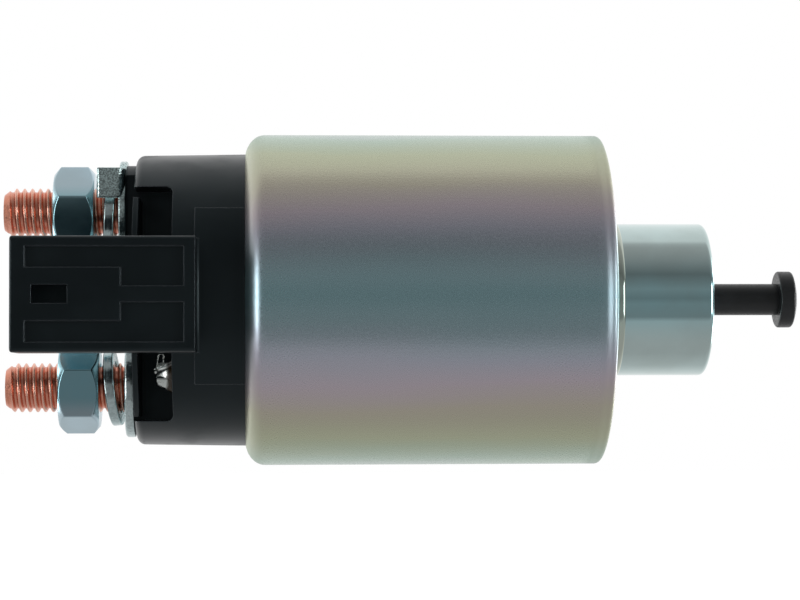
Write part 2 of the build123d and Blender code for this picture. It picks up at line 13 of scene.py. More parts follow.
import bmesh
import bpy
from mathutils import Matrix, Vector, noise


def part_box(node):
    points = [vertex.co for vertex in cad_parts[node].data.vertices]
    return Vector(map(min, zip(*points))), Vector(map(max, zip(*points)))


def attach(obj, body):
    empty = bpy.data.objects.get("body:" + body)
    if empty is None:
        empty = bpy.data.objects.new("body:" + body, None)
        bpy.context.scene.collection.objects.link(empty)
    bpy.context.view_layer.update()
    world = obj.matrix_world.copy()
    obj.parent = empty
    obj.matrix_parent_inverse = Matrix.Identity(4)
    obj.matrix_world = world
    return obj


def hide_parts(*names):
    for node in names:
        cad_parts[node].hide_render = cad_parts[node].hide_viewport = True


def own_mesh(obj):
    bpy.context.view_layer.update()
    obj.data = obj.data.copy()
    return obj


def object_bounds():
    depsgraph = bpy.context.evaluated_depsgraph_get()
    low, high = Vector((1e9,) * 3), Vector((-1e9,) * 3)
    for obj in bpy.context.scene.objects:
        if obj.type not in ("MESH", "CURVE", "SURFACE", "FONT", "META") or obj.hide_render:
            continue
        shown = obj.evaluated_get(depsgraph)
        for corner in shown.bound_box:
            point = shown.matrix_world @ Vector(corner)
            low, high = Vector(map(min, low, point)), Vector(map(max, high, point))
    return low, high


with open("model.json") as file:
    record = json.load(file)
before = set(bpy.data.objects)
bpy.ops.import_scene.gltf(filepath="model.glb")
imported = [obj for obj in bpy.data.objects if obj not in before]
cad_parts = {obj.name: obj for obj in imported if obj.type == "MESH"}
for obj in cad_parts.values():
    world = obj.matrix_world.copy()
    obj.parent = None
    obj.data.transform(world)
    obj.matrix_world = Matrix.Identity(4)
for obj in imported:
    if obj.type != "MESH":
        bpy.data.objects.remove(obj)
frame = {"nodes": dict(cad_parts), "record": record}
cad_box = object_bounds()
scene = bpy.context.scene
MM = 0.001

# %% [markdown]
# The camera. The photograph was taken with a long lens from about 40 cm, level with the lower half of the
# can and looking a little upwards. A wide lens close by would frame the part as large, but its near end
# would swell. The long lens keeps the can's two ends nearly parallel. The camera's place and angles were
# fitted to the can's four corners, the plunger and the rod.

# %% Camera
camera_place = (-54.4 * MM, -407.9 * MM, -13.5 * MM)
camera_lens = 113.5
camera_tilt = 1.891
camera_pan = -3.13
camera_roll = 0.16


def add_camera():
    """A camera at the photograph's viewing angle."""
    data = bpy.data.cameras.new("camera")
    data.lens = camera_lens
    data.sensor_width = 36.0
    data.clip_start = 0.01
    data.clip_end = 20.0
    camera = bpy.data.objects.new("camera", data)
    camera.location = camera_place
    angles = (90 + camera_tilt, camera_roll, camera_pan)
    camera.rotation_euler = [math.radians(angle) for angle in angles]
    scene.collection.objects.link(camera)
    scene.camera = camera
    return camera


add_camera()
scene.view_settings.view_transform = "Standard"
scene.view_settings.look = "None"
print("camera", camera_lens, "mm lens")

# %% [markdown]
# A writer for shader nodes. A node tree can be built by hand with one line to add each node, one for each
# setting and one for each wire, which soon hides the idea behind a finish. This class does all three in one
# call, so that the code reads like a short formula. Its methods are the few steps that every finish needs.

# %% Shader node writer


class Nodes:
    """Adds shader nodes to one tree and wires them in the same call."""

    def __init__(self, tree):
        self.tree = tree

    def add(self, kind, inputs=None, **settings):
        """A node with its settings. Each input takes a value or another node's output."""
        node = self.tree.nodes.new(kind)
        for key, value in settings.items():
            setattr(node, key, value)
        for key, value in (inputs or {}).items():
            if isinstance(value, bpy.types.NodeSocket):
                self.tree.links.new(value, node.inputs[key])
            else:
                node.inputs[key].default_value = value
        return node

    def math(self, operation, a, b=0.0, c=0.0):
        """One arithmetic step."""
        return self.add("ShaderNodeMath", {0: a, 1: b, 2: c}, operation=operation).outputs[0]

    def span(self, value, from_low, from_high, to_low=0.0, to_high=1.0):
        """Eases a range of values into another, and holds it at both ends."""
        ends = {"From Min": from_low, "From Max": from_high, "To Min": to_low, "To Max": to_high}
        node = self.add("ShaderNodeMapRange", {"Value": value, **ends}, interpolation_type="SMOOTHSTEP")
        return node.outputs["Result"]

    def mix(self, factor, a, b):
        """Mixes two colours."""
        node = self.add("ShaderNodeMix", {0: factor, 6: a, 7: b}, data_type="RGBA")
        return node.outputs[2]

    def ramp(self, factor, stops):
        """A colour ramp with (position, colour) stops."""
        node = self.add("ShaderNodeValToRGB", {0: factor})
        ramp = node.color_ramp
        while len(ramp.elements) < len(stops):
            ramp.elements.new(1.0)
        for element, (position, colour) in zip(ramp.elements, stops):
            element.position = position
            element.color = (*colour, 1.0)
        return node.outputs["Color"]

    def place(self):
        """Where a point lies on its object: the whole vector, and X, Y and Z apart."""
        vector = self.add("ShaderNodeTexCoord").outputs["Object"]
        return vector, self.add("ShaderNodeSeparateXYZ", {0: vector}).outputs


print("node writer with", len([step for step in vars(Nodes) if step[0] != "_"]), "steps")

# %% [markdown]
# The light. A bright metal part shows its surroundings, so the surroundings are the light. Lamps would work
# on the plastic, but on the can each would show as a hard spot. The photograph's reflections give the real
# studio away: white paper below and behind, a bright ceiling above, the dimmer room on the camera's side,
# and a narrow bright panel at each side. One world shader holds them all, as brightness by direction.
# studio_levels goes round the X axis in degrees: 0 is the camera's side and 90 is up. side_levels goes
# across, by the X part of the direction.

# %% World light
studio_levels = [
    (-180, 1.0),
    (-144, 0.76),
    (-121, 0.55),
    (-91, 0.43),
    (-35, 0.42),
    (-28, 0.24),
    (-8, 0.26),
    (0, 0.21),
    (14, 0.27),
    (37, 0.165),
    (60, 0.30),
    (84, 0.41),
    (91, 0.50),
    (98, 0.76),
    (150, 0.97),
    (180, 1.0),
]
side_levels = [(-0.92, 0.22), (-0.87, 6.0), (-0.77, 6.0), (0.77, 7.0), (0.87, 7.0), (0.92, 0.22)]
side_starts = 0.72
side_full = 0.77
side_half = 0.24
side_fade = 0.1
backdrop = (1, 1, 1, 1)


def add_world():
    """Studio surroundings: brightness by the direction that a ray takes."""
    world = bpy.data.worlds.new("studio")
    scene.world = world
    world.use_nodes = True
    world.node_tree.nodes.clear()
    n = Nodes(world.node_tree)
    direction = n.add("ShaderNodeTexCoord").outputs["Generated"]
    x, y, z = n.add("ShaderNodeSeparateXYZ", {0: direction}).outputs
    angle = n.math("ARCTAN2", z, n.math("MULTIPLY", y, -1.0))
    turn = n.math("MULTIPLY_ADD", angle, 0.5 / math.pi, 0.5)
    round_light = n.ramp(turn, [((degrees + 180) / 360, (level,) * 3) for degrees, level in studio_levels])
    across = n.math("MULTIPLY_ADD", x, 0.5, 0.5)
    panels = n.ramp(across, [((side + 1) / 2, (level,) * 3) for side, level in side_levels])
    low = n.span(n.math("ABSOLUTE", z), side_half, side_half + side_fade, 1.0, 0.0)
    aside = n.span(n.math("ABSOLUTE", x), side_starts, side_full)
    studio = n.mix(n.math("MULTIPLY", low, aside), round_light, panels)
    seen = n.add("ShaderNodeLightPath").outputs["Is Camera Ray"]
    light = n.add("ShaderNodeBackground", {"Color": n.mix(seen, studio, backdrop), "Strength": 1.0})
    n.add("ShaderNodeOutputWorld", {"Surface": light.outputs[0]})
    return world


add_world()
print("world light with", len(studio_levels), "levels round and", len(side_levels), "across")

# %% [markdown]
# Helpers for materials. Every finish starts as a Principled shader whose constant sockets are set once.
# What varies over the surface, such as colour, roughness and bumps, is wired in afterwards by feed.

# %% Material helpers
MATERIALS = {}


def new_material(name, **constants):
    """Keeps a new Principled material under its name, and gives its node writer and its shader."""
    material = bpy.data.materials.new(name)
    material.use_nodes = True
    shader = material.node_tree.nodes["Principled BSDF"]
    for key, value in constants.items():
        shader.inputs[key.replace("_", " ")].default_value = value
    MATERIALS[name] = material
    return Nodes(material.node_tree), shader


def put_group(n, group, **values):
    """One use of a shared node group with its own values."""
    node = n.add("ShaderNodeGroup", node_tree=group)
    for key, value in values.items():
        node.inputs[key.replace("_", " ")].default_value = value
    return node.outputs


def bump(n, height, distance, strength=1.0, under=None):
    """A bump from a height of 0 to 1, whose full depth is distance in millimetres."""
    inputs = {"Height": height, "Distance": distance * MM, "Strength": strength}
    if under is not None:
        inputs["Normal"] = under
    return n.add("ShaderNodeBump", inputs).outputs["Normal"]


def feed(n, shader, **sources):
    """Wires outputs into the shader's named sockets."""
    for key, source in sources.items():
        n.tree.links.new(source, shader.inputs[key.replace("_", " ")])


def report(*names):
    """Prints how many nodes each of these finishes has."""
    for name in names:
        print("finish", name, "with", len(MATERIALS[name].node_tree.nodes), "nodes")


print("materials so far", len(MATERIALS))

# %% [markdown]
# The floor. The photograph's ground is pure white with no shadow. A white plane close under the part would
# catch its shadow, so the floor is pale, a little luminous and well below the part. Only the camera sees
# it: the metal reflects the world's own white paper. From underneath it is clear, so that the part's lower
# side can be looked at too.

# %% Floor
floor_drop = 55
floor_half = 1.5
paper_tone = (0.86, 0.86, 0.86, 1)
paper_roughness = 0.9
paper_glow = 0.62


def white_paper():
    """Matt white paper that glows a little. Its back is clear."""
    n, shader = new_material(
        "white_paper",
        Base_Color=paper_tone,
        Roughness=paper_roughness,
        Emission_Color=(1, 1, 1, 1),
        Emission_Strength=paper_glow,
    )
    below = n.add("ShaderNodeNewGeometry").outputs["Backfacing"]
    clear = n.add("ShaderNodeBsdfTransparent").outputs[0]
    paper = n.add("ShaderNodeMixShader", {0: below, 1: shader.outputs[0], 2: clear}).outputs[0]
    n.tree.links.new(paper, n.tree.nodes["Material Output"].inputs["Surface"])


def add_floor():
    """A pale plane under the part."""
    bm = bmesh.new()
    bmesh.ops.create_grid(bm, x_segments=1, y_segments=1, size=floor_half)
    bmesh.ops.translate(bm, verts=bm.verts, vec=(0, 0, cad_box[0].z - floor_drop * MM))
    mesh = bpy.data.meshes.new("floor")
    bm.to_mesh(mesh)
    bm.free()
    mesh.materials.append(MATERIALS["white_paper"])
    floor = bpy.data.objects.new("floor", mesh)
    scene.collection.objects.link(floor)
    floor.visible_glossy = False
    floor.visible_diffuse = False
    return floor


white_paper()
add_floor()
report("white_paper")
print("floor", floor_drop, "mm under the part")

# %% [markdown]
# Shared effects. Several finishes need the same things, so each thing is a node group, built once and set
# for each material by its inputs. The first is grain: fine bumps that break up a reflection, and slow
# blotches where a plating bath or a mould left the surface uneven. A photograph of a surface would give
# both at once, but it would tile and stretch. Noise on the object's own coordinates does neither.

# %% Grain group


def new_group(name, inputs, outputs):
    """A shader node group with named number inputs and outputs, and its writer."""
    group = bpy.data.node_groups.new(name, "ShaderNodeTree")
    for label, default in inputs:
        socket = group.interface.new_socket(label, in_out="INPUT", socket_type="NodeSocketFloat")
        socket.default_value = default
    for label in outputs:
        group.interface.new_socket(label, in_out="OUTPUT", socket_type="NodeSocketFloat")
    return group, Nodes(group)


def grain_group():
    """Fine bumps and slow blotches, both as heights from 0 to 1. Scales are features per millimetre."""
    inputs = [("Fine Scale", 4.0), ("Blotch Scale", 0.1)]
    group, n = new_group("grain", inputs, ["Grain", "Blotch"])
    given = n.add("NodeGroupInput").outputs
    vector = n.add("ShaderNodeTexCoord").outputs["Object"]
    fine = n.math("DIVIDE", given["Fine Scale"], MM)
    slow = n.math("DIVIDE", given["Blotch Scale"], MM)
    grain = n.add("ShaderNodeTexNoise", {"Vector": vector, "Scale": fine, "Detail": 2.0})
    blotch = n.add("ShaderNodeTexNoise", {"Vector": vector, "Scale": slow, "Detail": 3.0})
    spread = n.span(blotch.outputs["Fac"], 0.3, 0.7)
    n.add("NodeGroupOutput", {"Grain": grain.outputs["Fac"], "Blotch": spread})
    return group


GRAIN = grain_group()
print("group", GRAIN.name, "with", len(GRAIN.nodes), "nodes")

# %% [markdown]
# The second effect is the lines that a lathe or a drawing die leaves round an axis. Rings could be drawn
# with a wave texture, but real ones are uneven, so noise is stretched round the axis instead: it changes
# fast along X and with the radius, and hardly at all with the angle. The studs' axes lie as far above the
# part's axis as below it, so one height serves both.

# %% Turned lines group
stud_offset = 14.05
round_stretch = 0.05


def turned_group():
    """Lines round an axis along X at Z = 0, or round both studs' axes, and the radius from it in metres."""
    inputs = [("Line Scale", 8.0), ("Centre Z", 0.0)]
    group, n = new_group("turned_lines", inputs, ["Lines", "Radius"])
    given = n.add("NodeGroupInput").outputs
    _, (x, y, z) = n.place()
    centre = n.math("MULTIPLY", given["Centre Z"], MM)
    up = n.math("SUBTRACT", n.math("ABSOLUTE", z), centre)
    radius = n.math("SQRT", n.math("ADD", n.math("MULTIPLY", y, y), n.math("MULTIPLY", up, up)))
    angle = n.math("MULTIPLY", n.math("ARCTAN2", y, up), round_stretch * MM)
    line = n.add("ShaderNodeCombineXYZ", {0: x, 1: radius, 2: angle}).outputs[0]
    scale = n.math("DIVIDE", given["Line Scale"], MM)
    lines = n.add("ShaderNodeTexNoise", {"Vector": line, "Scale": scale, "Detail": 3.0})
    n.add("NodeGroupOutput", {"Lines": lines.outputs["Fac"], "Radius": radius})
    return group


TURNED = turned_group()
print("group", TURNED.name, "with", len(TURNED.nodes), "nodes")

# %% [markdown]
# The can's zinc. Yellow-green passivated zinc carries a clear film a few hundred nanometres thick, so its
# hue turns with the viewing angle. The shader's thin film does that on its glossy layer, under a very high
# index. The hues that the film shows at each viewing angle are also painted into the metal's own colour as
# soft bands by height along the can: teal in the middle, then mauve, khaki and mint. They are a painted
# sheen, fixed on the can whichever way it is seen.
# The can's front corner is rolled more softly than its solid, and a smooth bump makes up for that. Near both
# ends the grain is worn down, so its bumps are shallower there and the shine is duller.

# %% Can zinc
can_reach = 26.6
# painted sheen: the film's hues by viewing angle, painted as colour bands by height along the can
painted_sheen_bands = [
    (0.0, (0.29, 0.50, 0.53)),
    (0.16, (0.34, 0.50, 0.53)),
    (0.36, (0.46, 0.50, 0.56)),
    (0.50, (0.54, 0.50, 0.53)),
    (0.66, (0.53, 0.52, 0.41)),
    (0.84, (0.49, 0.52, 0.37)),
    (0.96, (0.38, 0.50, 0.40)),
    (1.0, (0.42, 0.50, 0.47)),
]
film_thickness = 540.0
film_index = 1.33
sheen_band_wander = 0.24
sheen_band_drift = (18, 70, 70)
drawn_lines = (90, 2200, 2200)
roll_starts = -2.1
roll_ends = -0.5
roll_depth = 0.34
front_worn = (-3.5, -1.5)
rear_worn = (-55.5, -53.5)
worn_roughness = 0.12
worn_depth = 0.2


def can_zinc():
    """Iridescent passivated zinc over drawn steel, with a painted sheen in bands by height."""
    film = {"Thin_Film_Thickness": film_thickness, "Thin_Film_IOR": film_index}
    n, shader = new_material("can_zinc", Metallic=0.8, IOR=7.0, **film)
    vector, (x, _, z) = n.place()
    long_way = n.add("ShaderNodeMapping", {"Vector": vector, "Scale": sheen_band_drift}).outputs[0]
    drift = n.add("ShaderNodeTexNoise", {"Vector": long_way, "Scale": 1.0, "Detail": 3.0}).outputs["Fac"]
    wander = n.math("MULTIPLY_ADD", drift, sheen_band_wander, -sheen_band_wander / 2)
    share = n.math("DIVIDE", n.math("ABSOLUTE", z), can_reach * MM)
    # painted sheen: the base colour follows the height, wobbled a little along the can
    colour = n.ramp(n.math("ADD", share, wander), painted_sheen_bands)
    drawn = n.add("ShaderNodeMapping", {"Vector": vector, "Scale": drawn_lines}).outputs[0]
    streak = n.add("ShaderNodeTexNoise", {"Vector": drawn, "Scale": 1.0, "Detail": 2.0}).outputs["Fac"]
    grain = put_group(n, GRAIN, Fine_Scale=3.2, Blotch_Scale=0.045)
    front = n.span(x, front_worn[0] * MM, front_worn[1] * MM)
    rear = n.span(x, rear_worn[0] * MM, rear_worn[1] * MM, 1.0, 0.0)
    worn = n.math("MAXIMUM", front, rear)
    rough = n.math("MULTIPLY_ADD", worn, worn_roughness, n.span(grain["Grain"], 0.3, 0.7, 0.2, 0.3))
    calm = n.math("MULTIPLY_ADD", worn, worn_depth - 1.0, 1.0)
    roll = n.span(x, roll_starts * MM, roll_ends * MM)
    normal = bump(n, n.math("SUBTRACT", 1.0, roll), roll_depth)
    normal = bump(n, grain["Grain"], 0.015, strength=calm, under=normal)
    normal = bump(n, streak, 0.006, strength=calm, under=normal)
    feed(n, shader, Base_Color=colour, Roughness=rough, Normal=normal)


can_zinc()
report("can_zinc")

# %% [markdown]
# Bright zinc. The plunger, the guide sleeve and the nuts are machined and then plated, so they are smoother
# than the can and show faint turned lines. Zinc is a bluish metal, and its clear film makes it teal where
# the part faces the camera. A plain grey metal would look like chrome here, so that teal is painted into the
# colour by height: a painted sheen that fades over a stretch of height, from a teal near the axis to a paler
# blue. The bluish tone is the zinc's own; the fade by height is painted.

# %% Bright zinc
dull_zinc = (0.4, 0.45, 0.42, 1)
dull_share = 0.5
plate_grain = 0.0015


def zinc_plate(name, line_scale, line_depth, roughness, near, far, fade, centre=0.0):
    """Bright zinc over machined steel, with a painted sheen: its tint goes from the near tint to the far
    tint over a stretch of height in mm.
    """
    n, shader = new_material(name, Metallic=1.0)
    grain = put_group(n, GRAIN, Fine_Scale=2.0, Blotch_Scale=0.12)
    lines = put_group(n, TURNED, Line_Scale=line_scale, Centre_Z=centre)
    _, (_, _, z) = n.place()
    # painted sheen: teal near the axis, where the part faces the camera, and a paler blue higher and lower
    high = n.span(n.math("ABSOLUTE", z), fade[0] * MM, fade[1] * MM)
    colour = n.mix(high, (*near, 1), (*far, 1))
    dull = n.mix(dull_share, colour, dull_zinc)
    colour = n.mix(n.math("MULTIPLY", grain["Blotch"], dull_share), colour, dull)
    rough = n.span(grain["Blotch"], 0.0, 1.0, roughness * 0.8, roughness * 1.25)
    normal = bump(n, lines["Lines"], line_depth)
    normal = bump(n, grain["Grain"], plate_grain, under=normal)
    feed(n, shader, Base_Color=colour, Roughness=rough, Normal=normal)


zinc_plate(
    "zinc_plate",
    line_scale=6.0,
    line_depth=0.0008,
    roughness=0.06,
    near=(0.44, 0.72, 0.77),
    far=(0.60, 0.73, 0.72),
    fade=(0.8, 8.0),
)
zinc_plate(
    "sleeve_zinc",
    line_scale=6.0,
    line_depth=0.0008,
    roughness=0.08,
    near=(0.52, 0.66, 0.60),
    far=(0.60, 0.66, 0.58),
    fade=(0.8, 8.0),
)
zinc_plate(
    "nut_zinc",
    line_scale=3.0,
    line_depth=0.0006,
    roughness=0.21,
    near=(0.27, 0.50, 0.58),
    far=(0.47, 0.61, 0.69),
    fade=(15.5, 18.5),
    centre=stud_offset,
)
report("zinc_plate", "sleeve_zinc", "nut_zinc")

# %% [markdown]
# Barrel-plated zinc. Small stampings tumble in a drum while they are plated, so washers come out mottled,
# with little dents and with ridges along their rolled rims. The dents could be modelled, but they are a
# few hundredths of a millimetre deep, so bumps and a mottled colour show them well enough.

# %% Barrel-plated zinc
rim_lines = 1.8


def washer_zinc(name, tint, shade, fine, depth, ridge):
    """Zinc mottled between its tint and a darker shade, with dents and with ridges of the given depths."""
    n, shader = new_material(name, Metallic=1.0)
    grain = put_group(n, GRAIN, Fine_Scale=fine, Blotch_Scale=0.35)
    lines = put_group(n, TURNED, Line_Scale=rim_lines, Centre_Z=stud_offset)
    dull = tuple(shade * c for c in tint)
    colour = n.mix(n.span(grain["Grain"], 0.38, 0.6), (*dull, 1), (*tint, 1))
    rough = n.span(grain["Grain"], 0.3, 0.7, 0.14, 0.26)
    normal = bump(n, grain["Grain"], depth)
    normal = bump(n, lines["Lines"], ridge, under=normal)
    feed(n, shader, Base_Color=colour, Roughness=rough, Normal=normal)


washer_zinc("washer_zinc", (0.56, 0.66, 0.67), shade=0.86, fine=2.0, depth=0.05, ridge=0.03)
washer_zinc("spring_zinc", (0.52, 0.63, 0.64), shade=0.86, fine=2.0, depth=0.015, ridge=0.12)
washer_zinc("tab_zinc", (0.62, 0.78, 0.78), shade=0.42, fine=4.0, depth=0.045, ridge=0.0)
report("washer_zinc", "spring_zinc", "tab_zinc")

# %% [markdown]
# Copper. The studs' threads are rolled copper. Their crests are painted a lighter salmon and their flanks
# darker and redder: a painted highlight on the crests and painted shade in the grooves.
# Pointiness of the mesh could tell the two apart, but it changes with the mesh's own density. The radius
# from the stud's axis is exact, and the turned lines group has it already.

# %% Copper
crest_starts = 3.6
crest_full = 3.85
# painted highlight: the salmon colour of the thread's crests
crest_highlight_salmon = (0.93, 0.52, 0.40, 1)


def copper():
    """Rolled copper thread: a painted highlight of bright salmon on the crests over painted shade, darker
    and redder, on the flanks.
    """
    n, shader = new_material("copper", Metallic=1.0)
    grain = put_group(n, GRAIN, Fine_Scale=2.5, Blotch_Scale=0.6)
    radius = put_group(n, TURNED, Centre_Z=stud_offset)["Radius"]
    # painted shade: the flanks are darker and redder, as the grooves' shade
    flank_shade = n.mix(grain["Blotch"], (0.74, 0.30, 0.20, 1), (0.82, 0.36, 0.26, 1))
    crest = n.span(radius, crest_starts * MM, crest_full * MM)
    colour = n.mix(crest, flank_shade, crest_highlight_salmon)
    rough = n.span(grain["Grain"], 0.3, 0.7, 0.26, 0.34)
    feed(n, shader, Base_Color=colour, Roughness=rough, Normal=bump(n, grain["Grain"], 0.0012))


copper()
report("copper")

# %% [markdown]
# Black plastic. The cap is glass-filled nylon from a polished mould: almost black, satin, with soft flow
# marks. Its edges look bright, because every moulded edge is a little round. Bevelling the cap's mesh
# would change a solid that must stay as it is, so the Bevel node rounds the shading alone, and where it
# bends the normal most the edge is also painted paler: a painted highlight, a glint along every edge.

# %% Black plastic
moulded_round = 0.25
# painted highlight: the paler colour of the edges' glints
painted_edge_glint = (0.075, 0.085, 0.095, 1)


def black_plastic():
    """Satin black nylon with rounded edges that carry a painted highlight."""
    n, shader = new_material("black_plastic", IOR=1.41, Specular_Tint=(0.75, 0.93, 1.0, 1))
    grain = put_group(n, GRAIN, Fine_Scale=5.0, Blotch_Scale=0.12)
    colour = n.mix(grain["Blotch"], (0.0018, 0.0036, 0.0046, 1), (0.0034, 0.0062, 0.0075, 1))
    rough = n.span(grain["Blotch"], 0.0, 1.0, 0.28, 0.4)
    edge = n.add("ShaderNodeBevel", {"Radius": moulded_round * MM}, samples=4).outputs[0]
    flat = n.add("ShaderNodeNewGeometry").outputs["Normal"]
    apart = n.add("ShaderNodeVectorMath", {0: edge, 1: flat}, operation="DISTANCE").outputs["Value"]
    # painted highlight: where the bevel bends the normal most, the edge is painted paler
    colour = n.mix(n.span(apart, 0.3, 0.7), colour, painted_edge_glint)
    normal = bump(n, grain["Grain"], 0.0025, under=edge)
    feed(n, shader, Base_Color=colour, Roughness=rough, Normal=normal)


black_plastic()
report("black_plastic")

# %% [markdown]
# Plain finishes. The rod, the blade and the pieces inside the can need no story of their own: two near
# tones, a range of roughness and fine bumps tell oxide, tin, steel, nylon, tape and rubber apart. One
# function makes them all, and each finish is one line of values: the dark tone, the light tone, the range
# of roughness, the grain's features per millimetre, its depth in millimetres, and how metallic it is.

# %% Plain finishes
plain_finishes = {
    "black_oxide": ((0.006, 0.008, 0.009), (0.012, 0.014, 0.016), (0.3, 0.45), 3.0, 0.004, 0.0),
    "tin_plate": ((0.62, 0.61, 0.58), (0.74, 0.73, 0.70), (0.2, 0.32), 2.0, 0.0015, 1.0),
    "core_steel": ((0.38, 0.38, 0.38), (0.5, 0.5, 0.5), (0.25, 0.4), 2.0, 0.006, 1.0),
    "spring_steel": ((0.40, 0.41, 0.43), (0.54, 0.55, 0.56), (0.2, 0.35), 3.0, 0.004, 1.0),
    "natural_plastic": ((0.66, 0.61, 0.50), (0.76, 0.71, 0.61), (0.4, 0.55), 3.0, 0.004, 0.0),
    "wrap_tape": ((0.55, 0.48, 0.30), (0.68, 0.60, 0.42), (0.6, 0.8), 2.5, 0.03, 0.0),
    "seal_rubber": ((0.012, 0.012, 0.013), (0.022, 0.022, 0.023), (0.5, 0.7), 4.0, 0.01, 0.0),
}


def plain_finish(name, dark, light, rough, fine, depth, metallic):
    """A finish of two near tones, a roughness range and fine bumps."""
    n, shader = new_material(name, Metallic=metallic)
    grain = put_group(n, GRAIN, Fine_Scale=fine, Blotch_Scale=0.2)
    colour = n.mix(grain["Blotch"], (*dark, 1), (*light, 1))
    roughness = n.span(grain["Grain"], 0.3, 0.7, rough[0], rough[1])
    feed(n, shader, Base_Color=colour, Roughness=roughness, Normal=bump(n, grain["Grain"], depth))


for name, facts in plain_finishes.items():
    plain_finish(name, *facts)
report(*plain_finishes)

# %% [markdown]
# Windings. A coil of 0.8 mm enamelled wire is hundreds of turns side by side. Each turn could be a helix of
# its own, but the coil is hidden in the can, so its solid stays a ring, and round ribs along the axis show
# the wire wherever the part is cut open or taken apart. The lacquer is a thin coat over the copper.

# %% Windings
wire_pitch = 0.8
rib_depth = 0.4 * wire_pitch


def winding():
    """Enamelled copper wire, wound side by side."""
    n, shader = new_material("winding", Metallic=0.85, Coat_Weight=0.4, Coat_Roughness=0.15)
    _, (x, _, _) = n.place()
    wave = n.math("ABSOLUTE", n.math("SINE", n.math("MULTIPLY", x, math.pi / (wire_pitch * MM))))
    grain = put_group(n, GRAIN, Fine_Scale=2.0, Blotch_Scale=0.3)
    colour = n.mix(grain["Blotch"], (0.42, 0.16, 0.06, 1), (0.62, 0.27, 0.11, 1))
    rough = n.span(wave, 0.0, 1.0, 0.5, 0.25)
    feed(n, shader, Base_Color=colour, Roughness=rough, Normal=bump(n, wave, rib_depth))


winding()
report("winding")

# %% [markdown]
# Solder and tinned wire. Solder wets the wire's end and leaves a brown ring of flux where it stops. Both
# are one material turning into another along X, with an uneven border. The alternative is to split the
# mesh, which would give a straight line that no solder joint has.

# %% Solder and wire
border_wobble = 0.8


def soldered(name, rear, front, border):
    """One metal at the rear and another in front, each a colour and a metallic share, from X to X in mm."""
    n, shader = new_material(name)
    _, (x, _, _) = n.place()
    grain = put_group(n, GRAIN, Fine_Scale=1.0, Blotch_Scale=0.5)
    middle = n.math("SUBTRACT", x, border_wobble / 2 * MM)
    wobbly = n.math("MULTIPLY_ADD", grain["Grain"], border_wobble * MM, middle)
    share = n.span(wobbly, border[0] * MM, border[1] * MM)
    colour = n.mix(share, (*rear[0], 1), (*front[0], 1))
    metallic = n.span(share, 0.0, 1.0, rear[1], front[1])
    rough = n.span(grain["Grain"], 0.3, 0.7, 0.16, 0.34)
    normal = bump(n, grain["Grain"], 0.03)
    feed(n, shader, Base_Color=colour, Metallic=metallic, Roughness=rough, Normal=normal)


flux = ((0.03, 0.02, 0.01), 0.0)
tin = ((0.66, 0.70, 0.68), 1.0)
dipped = ((0.60, 0.64, 0.62), 1.0)
bare_copper = ((0.58, 0.27, 0.13), 0.9)
soldered("solder", rear=tin, front=flux, border=(-69.4, -68.8))
soldered("wire", rear=dipped, front=bare_copper, border=(-68.3, -67.8))
report("solder", "wire")

# %% [markdown]
# Every node of the frame gets the finish of its material slot. Pieces that are modelled again below take
# the node's place, and the rest stay as they are.

# %% Dress the nodes
SLOTS = {part["node"]: part["material_slot"] for part in frame["record"]["subparts"]}


def dress_nodes():
    """Gives each node the material of its slot."""
    for name, node in frame["nodes"].items():
        node.data.materials.clear()
        node.data.materials.append(MATERIALS[SLOTS[name]])


dress_nodes()
print("dressed", len(SLOTS), "nodes")

# %% [markdown]
# Sizes. The new pieces replace solids, so they have to be exactly as large. Their ends and radii could be
# typed in again, but then two places would hold the same size. They are read from the solids' boxes.

# %% Sizes from the frame
SIZES = {}
for node in frame["nodes"]:
    SIZES[node] = [[c / MM for c in corner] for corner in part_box(node)]


def envelope(node):
    """A round node's rear end, front end, radius and axis height in mm, from its box."""
    (x_low, _, z_low), (x_high, _, z_high) = SIZES[node]
    return x_low, x_high, (z_high - z_low) / 2, (z_low + z_high) / 2


print("boxes of", len(SIZES), "nodes")

# %% [markdown]
# Turning. Nearly every small piece is turned or wound, so it starts as an outline beside the X axis, as on
# a lathe. Its corners are rounded first, which is a flat bevel and costs nothing. Then it is spun: once
# round for a turned piece, where the last step merges with the first, or along a helix for a spring.

# %% Outlines and spins


def outline(points, rounds=None):
    """A face in the XZ plane from (x, radius) points in mm. rounds maps a corner's index to its round."""
    bm = bmesh.new()
    corners = [bm.verts.new((x * MM, 0, r * MM)) for x, r in points]
    bm.faces.new(corners)
    for index, size in (rounds or {}).items():
        bmesh.ops.bevel(
            bm,
            geom=[corners[index]],
            offset=size * MM,
            offset_type="OFFSET",
            segments=5,
            profile=0.5,
            affect="VERTICES",
            material=-1,
        )
    return bm


def close(bm):
    """Fills open ends and turns every normal outward."""
    ends = [edge for edge in bm.edges if edge.is_boundary]
    if ends:
        bmesh.ops.holes_fill(bm, edges=ends, sides=0)
    bmesh.ops.recalc_face_normals(bm, faces=bm.faces)
    return bm


def spin(bm, steps=128, turns=1.0, rise=0.0):
    """Spins the outline's edges round the X axis. With a rise in mm it winds a helix with closed ends."""
    bmesh.ops.delete(bm, geom=bm.faces[:], context="FACES_ONLY")
    count = round(steps * turns)
    bmesh.ops.spin(
        bm,
        geom=bm.verts[:] + bm.edges[:],
        cent=(0, 0, 0),
        axis=(1, 0, 0),
        dvec=(rise * MM / count, 0, 0),
        angle=2 * math.pi * turns,
        steps=count,
        use_merge=turns == 1.0 and rise == 0.0,
    )
    bmesh.ops.remove_doubles(bm, verts=bm.verts, dist=1e-7)
    return close(bm)


trial = spin(outline([(0, 4), (0, 8), (1, 8), (1, 4)]))
print("a trial washer has", len(trial.faces), "faces")

